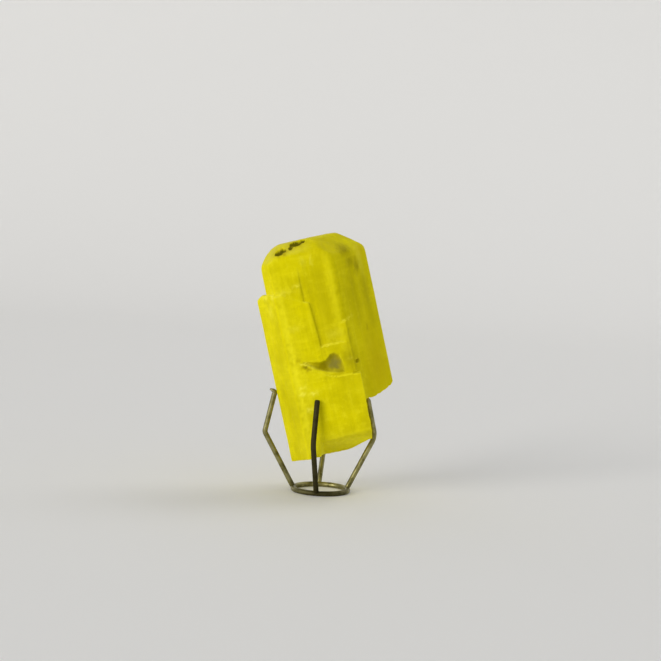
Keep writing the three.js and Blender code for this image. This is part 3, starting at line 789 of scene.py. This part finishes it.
# Painted highlights: pale bands along ridges where they catch the light.
ridge_highlight_bands = [((-10, -10.6, 22), (0.95, 0.9, 40), 0.95), ((-8.7, -10.9, 20), (1.7, 0.9, 15), 0.5),
              ((3, -10.2, 40), (0.9, 0.9, 14), 0.4)]
grey_spots = [((-0.2, -9.6, 22.9), (1.3, 3, 1.5), 1.4)]
shaded_spots = [((-3, -10, 22.9), (1.1, 3, 1.1), 1), ((-0.8, -9.6, 24.8), (0.8, 3, 0.9), 0.5),
                ((1.1, -9.6, 20.9), (0.8, 3, 0.5), 0.5)]
cleaner_spots = [((-1.6, -10, 20.9), (2.6, 3, 0.6), 0.6), ((-6.4, -10, 23.8), (2, 3, 1), 0.6)]
TOP_PITS_ABOVE = 45
LOWER_PIT_SHARE = 0.3
CHIP_SHARE_AT_OUTLINE = 0.3
CHIP_BLEND = 0.6
CHIP_BEFORE = -6
MARK_LIFT = 0.05
BROKEN_BLEND = 0.25
PIT_BLEND = 0.16
EDGE_HIGHLIGHT_SHARPNESS = 0.06
# A painted grey sheen on faces that look up, on the left side where the main light falls.
SHEEN_SLOPE, SHEEN_SLOPE_BLEND = 0.35, 0.4
SHEEN_LEFT_OF, SHEEN_SIDE_BLEND = 1, 5
END_POINT_VALUES = [0, 1]  # how bent and how level the skin counts at its bottom point and at its top one

crystal_points, crystal_rows = crystal_skin()
crystal_grid = crystal_points[:-2].reshape(crystal_rows, CRYSTAL_COLUMNS, 3)
sharpness, slope = (np.append(values.ravel(), END_POINT_VALUES)
                    for values in bends_and_slopes(crystal_grid))
lost = losses(crystal_points)
from_chip = outline_distance(crystal_points[:, 0], crystal_points[:, 2], chip_outline)
in_chip = np.clip(CHIP_SHARE_AT_OUTLINE - from_chip / CHIP_BLEND, 0, 1)
in_chip *= crystal_points[:, 1] < CHIP_BEFORE
crystal_marks = {
    "broken": np.clip(1 + (np.maximum(lost["corner"], lost["hollows"]) + MARK_LIFT) / BROKEN_BLEND, 0, 1),
    "chip": in_chip * (1 - near(crystal_points, cleaner_spots)),
    "grey": in_chip * near(crystal_points, grey_spots),
    "shade": in_chip * near(crystal_points, shaded_spots),
    "pit": (np.clip(1 + (lost["pits"] + MARK_LIFT) / PIT_BLEND, 0, 1)
            * np.where(crystal_points[:, 2] > TOP_PITS_ABOVE, 1, LOWER_PIT_SHARE)),
    # Paler wherever the skin bends sharply: worn edges, partly a painted highlight.
    "edge": np.clip(np.abs(sharpness) / EDGE_HIGHLIGHT_SHARPNESS, 0, 1),
    # Painted sheen: greyer on upward faces left of the middle.
    "top_sheen": (np.clip((slope - SHEEN_SLOPE) / SHEEN_SLOPE_BLEND, 0, 1)
              * np.clip((SHEEN_LEFT_OF - crystal_points[:, 0]) / SHEEN_SIDE_BLEND, 0, 1)),
    "ridge_highlight": near(crystal_points, ridge_highlight_bands),
    "brown": near(crystal_points, brown_spots),
    "olive": near(crystal_points, olive_patches_and_shade),
    "amber": near(crystal_points, amber_patches),
    "fleck_and_highlight": near(crystal_points, pale_flecks_and_highlights),
}
crystal = skinned("apatite_crystal", standing(crystal_grid), standing(crystal_points[-2:]), crystal_marks)

LEMON = (0.63, 0.56, 0.001, 1)
OLIVE = (0.48, 0.42, 0.001, 1)
# Deep olive of the stone's patches, also used as painted shade.
DEEP_OLIVE_AND_SHADE = (0.21, 0.17, 0.002, 1)
PALE = (0.76, 0.69, 0.015, 1)
# Grey of the painted sheen on the upward faces.
SHEEN_GREY = (0.56, 0.51, 0.06, 1)
AMBER = (0.62, 0.48, 0.001, 1)
CHIP_OLIVE = (0.27, 0.22, 0.002, 1)
CHIP_GREY = (0.16, 0.138, 0.036, 1)
CHIP_SHADE = (0.12, 0.09, 0.001, 1)
# Yellow of the pale flecks and painted highlights.
FLECK_AND_HIGHLIGHT_YELLOW = (0.9, 0.85, 0.09, 1)
BROWN = (0.2, 0.115, 0.002, 1)
PIT_BROWN = (0.018, 0.012, 0.004, 1)
BROKEN_YELLOW = (0.56, 0.49, 0.002, 1)


def apatite_finish():
    """Waxy, cloudy yellow stone with a slight even glow, a painted glow from emission that also lifts its
    shaded sides. Clouds, faint streaks that run up the crystal and faint level growth lines shift it
    between lemon, olive and pale; worn edges are paler, partly as a painted highlight, the ridges and some
    flecks carry painted highlights, faces that look up on the left a painted grey sheen, some olive patches
    are painted shade, the chip is olive and grey with painted shade, and the matrix left in the pits is
    nearly black. Read along the crystal's own axes, by turning the object's coordinates back by its lean.
    The marks are laid over one another, each a little uneven."""
    material, shader = new_material("apatite_finish")
    tree = material.node_tree
    place = add(tree, "TexCoord").outputs["Object"]
    own = add(tree, "Mapping", {"Vector": place, "Rotation": (0, CRYSTAL_LEAN, 0)}).outputs[0]
    stretched = add(tree, "Mapping", {"Vector": own, "Scale": (1, 1, 0.07)}).outputs[0]
    clouds = add(tree, "TexNoise", {"Vector": own, "Scale": 120.0, "Detail": 4.0,
                                    "Roughness": 0.55}).outputs[0]
    mottle = add(tree, "TexNoise", {"Vector": own, "Scale": 520.0, "Detail": 5.0,
                                    "Roughness": 0.65}).outputs[0]
    streaks = add(tree, "TexNoise", {"Vector": stretched, "Scale": 480.0, "Detail": 3.0}).outputs[0]
    levelled = add(tree, "Mapping", {"Vector": own, "Scale": (0.12, 0.12, 1)}).outputs[0]
    growth_lines = add(tree, "TexNoise", {"Vector": levelled, "Scale": 1300.0, "Detail": 3.0}).outputs[0]
    grain = add(tree, "TexNoise", {"Vector": own, "Scale": 1900.0, "Detail": 4.0,
                                   "Roughness": 0.7}).outputs[0]
    fine_lines = add(tree, "TexNoise", {"Vector": stretched, "Scale": 2600.0, "Detail": 3.0}).outputs[0]
    colour = blended(tree, ranged(tree, clouds, 0.3, 0.62), OLIVE, LEMON)
    colour = blended(tree, ranged(tree, streaks, 0.5, 0.8, 0, 0.2), colour, PALE)
    colour = blended(tree, ranged(tree, mottle, 0.54, 0.72, 0, 0.5), colour, PALE)
    colour = blended(tree, ranged(tree, mottle, 0.48, 0.3, 0, 0.5), colour, OLIVE)
    lined = add(tree, "Math", {0: ranged(tree, growth_lines, 0.5, 0.74, 0, 0.4),
                               1: ranged(tree, clouds, 0.4, 0.58)}, operation="MULTIPLY")
    colour = blended(tree, lined.outputs[0], colour, PALE)
    marks = {mark: add(tree, "Attribute", attribute_name=mark).outputs["Fac"] for mark in crystal_marks}
    # Layers laid over the stone's colour: the olive one is partly painted shade, the ridge one painted
    # highlights, the edge and fleck ones partly so, the top sheen a painted sheen, and the shade one
    # painted shade in the chip.
    layers = [("olive", 1, DEEP_OLIVE_AND_SHADE), ("amber", 0.65, AMBER), ("broken", 0.55, BROKEN_YELLOW),
              ("top_sheen", 0.55, SHEEN_GREY), ("ridge_highlight", 1, PALE), ("edge", 0.75, PALE), ("chip", 1, CHIP_OLIVE),
              ("shade", 0.85, CHIP_SHADE), ("grey", 1, CHIP_GREY), ("fleck_and_highlight", 0.85, FLECK_AND_HIGHLIGHT_YELLOW),
              ("brown", 1, BROWN), ("pit", 1.3, PIT_BROWN)]
    uneven = ranged(tree, mottle, 0.32, 0.6, 0.75, 1)
    for mark, strength, tint in layers:
        share = add(tree, "Math", {0: ranged(tree, marks[mark], 0, 1, 0, strength), 1: uneven},
                    operation="MULTIPLY")
        colour = blended(tree, share.outputs[0], colour, tint)
    tree.links.new(colour, shader.inputs["Base Color"])
    tree.links.new(ranged(tree, grain, 0.3, 0.75, 0.36, 0.58), shader.inputs["Roughness"])
    shader.inputs["IOR"].default_value = 1.63
    shader.inputs["Specular IOR Level"].default_value = 0.008
    shader.inputs["Subsurface Weight"].default_value = 0.15
    shader.inputs["Subsurface Radius"].default_value = (1.0, 0.85, 0.05)
    shader.inputs["Subsurface Scale"].default_value = 0.0012
    # Painted glow: an even emission, as if the stone glowed by itself, lifting its shaded sides.
    shader.inputs["Emission Color"].default_value = (0.75, 0.66, 0.0, 1)
    shader.inputs["Emission Strength"].default_value = 0.13
    lines = add(tree, "Bump", {"Height": fine_lines, "Strength": 0.25, "Distance": 0.00006})
    grains = add(tree, "Bump", {"Height": grain, "Strength": 0.3, "Distance": 0.00008,
                                "Normal": lines.outputs[0]})
    tree.links.new(grains.outputs[0], shader.inputs["Normal"])
    return material


crystal.data.materials.append(apatite_finish())
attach(crystal, "root")
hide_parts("crystal")

# ---- Floor, light and camera -----------------------------------------------------------------------------
# A pale matt sheet lies under the stand and sweeps up behind it. The main light stands in front on the left
# and a weak one behind on the right, in an even room. The camera looks from the front, a little down, and
# leans a few degrees.

FLOOR_HALF_WIDTH = 1200.0
SWEEP_START = 500.0
SWEEP_RADIUS = 400.0
SWEEP_STEPS = 24
WALL_HEIGHT = 1200.0
FLOOR_COLOUR = (0.86, 0.85, 0.83, 1)


def floor_sheet():
    """A profile carried sideways: flat, then a quarter circle, then straight up."""
    rise = np.linspace(0, np.pi / 2, SWEEP_STEPS)
    curve = SWEEP_START + SWEEP_RADIUS * np.sin(rise)
    y = np.concatenate([[-FLOOR_HALF_WIDTH], curve, [SWEEP_START + SWEEP_RADIUS]])
    z = np.concatenate([[0], SWEEP_RADIUS * (1 - np.cos(rise)), [WALL_HEIGHT]])
    x = np.array([-FLOOR_HALF_WIDTH, FLOOR_HALF_WIDTH])
    points = np.stack([np.tile(x, len(y)), np.repeat(y, 2), np.repeat(z, 2)], axis=-1) * MM
    first = np.arange(0, 2 * len(y) - 2, 2)
    faces = np.stack([first, first + 1, first + 3, first + 2], axis=-1)
    mesh = bpy.data.meshes.new("floor_sheet")
    mesh.from_pydata(points.tolist(), [], faces.tolist())
    mesh.shade_smooth()
    sheet = bpy.data.objects.new("floor_sheet", mesh)
    bpy.context.scene.collection.objects.link(sheet)
    return sheet


floor = floor_sheet()
floor_finish, floor_shader = new_material("floor_finish")
floor_shader.inputs["Base Color"].default_value = FLOOR_COLOUR
floor_shader.inputs["Roughness"].default_value = 0.8
floor.data.materials.append(floor_finish)


def soft_light(name, place, aim, size, power, colour):
    """A square soft light at a place, turned to its aim."""
    light = bpy.data.lights.new(name, "AREA")
    light.size = size * MM
    light.energy = power
    light.color = colour
    holder = bpy.data.objects.new(name, light)
    holder.location = Vector(place) * MM
    holder.rotation_euler = (Vector(aim) - Vector(place)).to_track_quat("-Z", "Y").to_euler()
    bpy.context.scene.collection.objects.link(holder)


LIGHT_AIM = (0, 0, 35)
soft_light("left_light", (-1500, -1550, 560), LIGHT_AIM, 1100, 29, (1.0, 0.985, 0.96))
soft_light("back_light", (900, 700, 1300), LIGHT_AIM, 900, 6, (0.98, 0.99, 1.0))
world = bpy.data.worlds.new("soft_room")
world.use_nodes = True
world.node_tree.nodes["Background"].inputs["Color"].default_value = (0.93, 0.94, 0.95, 1)
world.node_tree.nodes["Background"].inputs["Strength"].default_value = 0.46
bpy.context.scene.world = world
bpy.context.scene.view_settings.view_transform = "Standard"

CAMERA_PLACE = Vector((1.094, -395.66, 72.20))
CAMERA_DIP = math.radians(4.6)
CAMERA_ROLL = math.radians(3)
CAMERA_LENS = 87.14
CAMERA_SENSOR = 36.0
camera_data = bpy.data.cameras.new("camera")
camera_data.sensor_width = CAMERA_SENSOR
camera_data.lens = CAMERA_LENS
camera_data.clip_start = 0.01
camera_data.clip_end = 20
camera = bpy.data.objects.new("camera", camera_data)
forward = Vector((0, math.cos(CAMERA_DIP), -math.sin(CAMERA_DIP)))
level_up = Vector((0, math.sin(CAMERA_DIP), math.cos(CAMERA_DIP)))
right = Vector((1, 0, 0)) * math.cos(CAMERA_ROLL) + level_up * math.sin(CAMERA_ROLL)
up = level_up * math.cos(CAMERA_ROLL) - Vector((1, 0, 0)) * math.sin(CAMERA_ROLL)
turned = Matrix((right, up, -forward)).transposed().to_4x4()
camera.matrix_world = Matrix.Translation(CAMERA_PLACE * MM) @ turned
bpy.context.scene.collection.objects.link(camera)
bpy.context.scene.camera = camera
